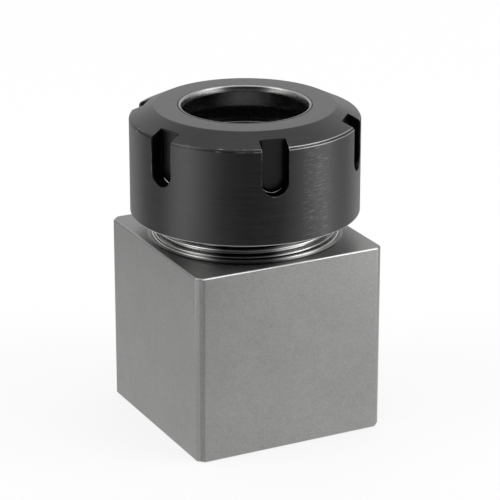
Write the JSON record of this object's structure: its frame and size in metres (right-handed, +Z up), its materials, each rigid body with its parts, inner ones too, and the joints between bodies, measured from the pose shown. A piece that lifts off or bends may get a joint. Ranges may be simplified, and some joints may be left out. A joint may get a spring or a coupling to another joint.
{
  "type": "square collet block",
  "caption": "Square steel block with a threaded nose, collet taper and through bore, and its slotted black clamping nut on a ball bearing pressure ring.",
  "frame": {"origin": "middle of the block's lower face, on the axis of the bore", "axes": "+Z up along the bore towards the nut; +X and +Y square to the block's side faces; the pictured sides are -X and -Y"},
  "size_m": [0.05, 0.05, 0.0712],
  "materials": {
    "ground_steel": "surface ground",
    "black_nut": "blackened, fine turned",
    "ring_steel": "bright ground",
    "ball_steel": "polished"
  },
  "bodies": {
    "block": {"block_body": "ground_steel"},
    "ring": {"pressure_ring": "ring_steel"},
    "nut": {"nut_body": "black_nut", "ball_fill_plug": "black_nut"},
    "bearing_balls": {"ball_01": "ball_steel", "ball_02": "ball_steel", "ball_03": "ball_steel", "ball_04": "ball_steel", "ball_05": "ball_steel", "ball_06": "ball_steel", "ball_07": "ball_steel", "ball_08": "ball_steel", "ball_09": "ball_steel", "ball_10": "ball_steel", "ball_11": "ball_steel", "ball_12": "ball_steel", "ball_13": "ball_steel", "ball_14": "ball_steel", "ball_15": "ball_steel", "ball_16": "ball_steel", "ball_17": "ball_steel", "ball_18": "ball_steel", "ball_19": "ball_steel", "ball_20": "ball_steel", "ball_21": "ball_steel", "ball_22": "ball_steel", "ball_23": "ball_steel", "ball_24": "ball_steel", "ball_25": "ball_steel", "ball_26": "ball_steel", "ball_27": "ball_steel", "ball_28": "ball_steel", "ball_29": "ball_steel", "ball_30": "ball_steel", "ball_31": "ball_steel", "ball_32": "ball_steel", "ball_33": "ball_steel", "ball_34": "ball_steel", "ball_35": "ball_steel", "ball_36": "ball_steel", "ball_37": "ball_steel", "ball_38": "ball_steel"}
  },
  "joints": [
    {"name": "ring_slide", "type": "slide", "parent": "block", "child": "ring", "axis": [0, 0, 1], "range_m": [0, 0.01201]},
    {"name": "nut_turn", "type": "hinge", "parent": "ring", "child": "nut", "pos_m": [0, 0, 0.06], "axis": [0, 0, 1], "range_deg": [0, 2880]},
    {"name": "balls_turn", "type": "hinge", "parent": "ring", "child": "bearing_balls", "pos_m": [0, 0, 0.06664], "axis": [0, 0, 1], "range_deg": [0, 1560]}
  ],
  "couplings": [
    {"joint": "ring_slide", "follows": "nut_turn", "m_per_rad": 0.00023873},
    {"joint": "balls_turn", "follows": "nut_turn", "ratio": 0.53947}
  ]
}
